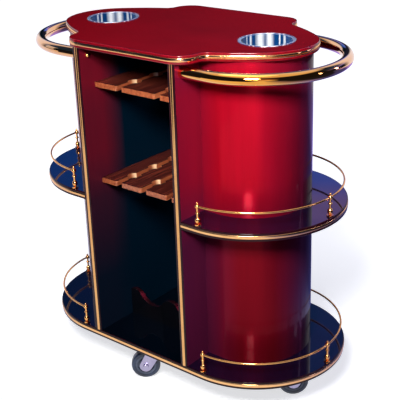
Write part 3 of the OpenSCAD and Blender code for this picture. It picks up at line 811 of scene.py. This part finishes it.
def mirrored_floor(tree, place):
    """The floor as gloss shows it: paper in front, and blue to violet to pale beyond the cart."""
    behind, across = along(tree, place, BEHIND), along(tree, place, ACROSS)
    paper = blend_colours(tree, ramp(tree, across, 0.2, 0.7), WHITE, (0.3, 0.3, 0.9))
    right_end = blend_colours(tree, ramp(tree, across, 0.7, 1.1), paper, FLOOR_DARK)
    front = blend_colours(tree, ramp(tree, across, -2.0, -2.3), right_end, FLOOR_DARK)
    near = blend_colours(tree, ramp(tree, behind, 1.0, 1.4), (0.06, 0.07, 0.3), (0.42, 0.3, 0.95))
    far = blend_colours(tree, ramp(tree, behind, 2.0, 2.5), near, PALE)
    back = blend_colours(tree, ramp(tree, across, -0.3, -0.6), far, (0.9, 0.88, 1.0))
    return blend_colours(tree, ramp(tree, behind, 0.0, 0.2), front, back)


def studio_floor():
    """White paper for the camera, grey for the light it throws back, a room's floor for gloss."""
    mesh = bpy.data.meshes.new("studio_floor")
    shape = bmesh.new()
    shape.faces.new([shape.verts.new((x * FLOOR_HALF, y * FLOOR_HALF, 0))
                     for x, y in ((-1, -1), (1, -1), (1, 1), (-1, 1))])
    shape.to_mesh(mesh)
    shape.free()
    floor = bpy.data.objects.new("studio_floor", mesh)
    bpy.context.collection.objects.link(floor)
    material, tree, shader, place = start_finish("pale_floor", Roughness=0.9,
                                                 Specular_IOR_Level=0.0)
    path = tree.nodes.new("ShaderNodeLightPath").outputs
    seen, glossy = path["Is Camera Ray"], path["Is Glossy Ray"]
    bounce = blend_colours(tree, seen, (0.3, 0.3, 0.42), (0.9, 0.9, 0.9))
    tree.links.new(blend_colours(tree, glossy, bounce, (0.02, 0.02, 0.02)),
                   shader.inputs["Base Color"])
    tree.links.new(blend_colours(tree, glossy, WHITE, mirrored_floor(tree, place)),
                   shader.inputs["Emission Color"])
    reach = add(tree, "ShaderNodeVectorMath", {0: place}, operation="LENGTH").outputs["Value"]
    glow = calc(tree, "MULTIPLY_ADD", seen, ramp(tree, reach, 0.5, 1.5, 0.66, 1.0), glossy)
    tree.links.new(glow, shader.inputs["Emission Strength"])
    mesh.materials.append(material)


def mirrored_room(tree, way):
    """The room as gloss shows it in each direction."""
    height = split(tree, way)["Z"]
    behind, across = along(tree, way, BEHIND), along(tree, way, ACROSS)
    wide = calc(tree, "ABSOLUTE", across)
    low_wall = blend_colours(tree, ramp(tree, height, 0.15, 0.3), (0.9, 0.85, 0.8),
                             (0.3, 0.12, 0.08))
    warm = blend_colours(tree, ramp(tree, wide, 0.1, 0.3), low_wall, ROOM_DARK)
    front = blend_colours(tree, ramp(tree, height, 0.45, 0.6), warm,
                          colour_steps(tree, height, FRONT_ROOM))
    dim_left = blend_colours(tree, ramp(tree, across, -0.12, 0.05), (0.1, 0.45, 0.45), WHITE)
    dim = blend_colours(tree, ramp(tree, height, 0.5, 0.56), dim_left, WHITE)
    walls = add(tree, "ShaderNodeVectorMath", {0: colour_steps(tree, height, BACK_ROOM), 1: dim},
                operation="MULTIPLY").outputs["Vector"]
    ends = calc(tree, "MULTIPLY", ramp(tree, wide, 0.22, 0.34), ramp(tree, behind, 0.45, 0.65))
    back = blend_colours(tree, ends, walls, PALE)
    return blend_colours(tree, ramp(tree, behind, -0.1, 0.25), front, back)


def studio_world():
    world = bpy.data.worlds.new("studio")
    bpy.context.scene.world = world
    world.use_nodes = True
    tree = world.node_tree
    tree.nodes.clear()
    path = tree.nodes.new("ShaderNodeLightPath").outputs
    way = tree.nodes.new("ShaderNodeTexCoord").outputs["Generated"]
    ambient = add(tree, "ShaderNodeBackground", {"Color": (0.3, 0.4, 0.9, 1), "Strength": 0.16})
    mirror = add(tree, "ShaderNodeBackground", {"Color": mirrored_room(tree, way), "Strength": 1.0})
    white = add(tree, "ShaderNodeBackground", {"Color": (*WHITE, 1), "Strength": 1.0})
    lit = add(tree, "ShaderNodeMixShader", {0: path["Is Glossy Ray"], 1: ambient.outputs[0],
                                            2: mirror.outputs[0]})
    clear = calc(tree, "MAXIMUM", path["Is Camera Ray"], path["Is Transmission Ray"])
    shown = add(tree, "ShaderNodeMixShader", {0: clear, 1: lit.outputs[0], 2: white.outputs[0]})
    end = tree.nodes.new("ShaderNodeOutputWorld")
    tree.links.new(shown.outputs[0], end.inputs["Surface"])


def lamp(name, place, aim, size, power, colour=WHITE, spread=180):
    data = bpy.data.lights.new(name, "AREA")
    data.shape = "RECTANGLE"
    data.size, data.size_y = size
    data.energy = power
    data.color = colour
    data.spread = math.radians(spread)
    made = bpy.data.objects.new(name, data)
    bpy.context.collection.objects.link(made)
    made.location = place
    made.rotation_mode = "QUATERNION"
    made.rotation_quaternion = (Vector(aim) - Vector(place)).to_track_quat("-Z", "Y")


CAMERA_PLACE = (1.4776, -1.7106, 1.3773)
CAMERA_AZIMUTH, CAMERA_ELEVATION, CAMERA_ROLL = (math.radians(v) for v in (40.3, 22.53, -2.05))
# focal length and width of the photograph in its own pixels, and the sensor's width in mm
FOCAL_PIXELS, PHOTO_PIXELS, SENSOR = 952.55, 400, 36.0


def photograph_camera():
    """The camera stands where the photograph was taken, found from the cart's own edges."""
    level = Vector((math.cos(CAMERA_AZIMUTH), math.sin(CAMERA_AZIMUTH), 0))
    back = Vector((math.sin(CAMERA_AZIMUTH) * math.cos(CAMERA_ELEVATION),
                   -math.cos(CAMERA_AZIMUTH) * math.cos(CAMERA_ELEVATION),
                   math.sin(CAMERA_ELEVATION)))
    upright = back.cross(level)
    right = level * math.cos(CAMERA_ROLL) + upright * math.sin(CAMERA_ROLL)
    up = upright * math.cos(CAMERA_ROLL) - level * math.sin(CAMERA_ROLL)
    data = bpy.data.cameras.new("photograph_camera")
    data.sensor_width = SENSOR
    data.lens = FOCAL_PIXELS / PHOTO_PIXELS * SENSOR
    camera = bpy.data.objects.new("photograph_camera", data)
    bpy.context.collection.objects.link(camera)
    turn = Matrix((right, up, back)).transposed().to_4x4()
    camera.matrix_world = Matrix.Translation(CAMERA_PLACE) @ turn
    bpy.context.scene.camera = camera


COOL_VIOLET, COOL_BLUE = (0.72, 0.66, 1), (0.75, 0.82, 1)

studio_floor()
studio_world()
lamp("key", (1.0, -1.6, 1.85), aim=(0.2, -0.1, 0.85), size=(0.5, 0.5), power=8.5, spread=60)
for name, place in (("right_strip", (2.2, 0.7, 1.25)), ("far_right_strip", (1.5, 1.35, 1.25))):
    lamp(name, place, aim=(0.2, 0, 0.55), size=(0.16, 0.5), power=2, colour=COOL_VIOLET)
lamp("overhead", (0, -0.3, 3.0), aim=(0, 0, 0.8), size=(1.4, 1.0), power=9)
lamp("left_fill", (-2.6, -1.2, 1.4), aim=(0, 0, 0.6), size=(0.9, 1.2), power=3, colour=COOL_BLUE)
photograph_camera()
bpy.context.scene.view_settings.view_transform = "Standard"
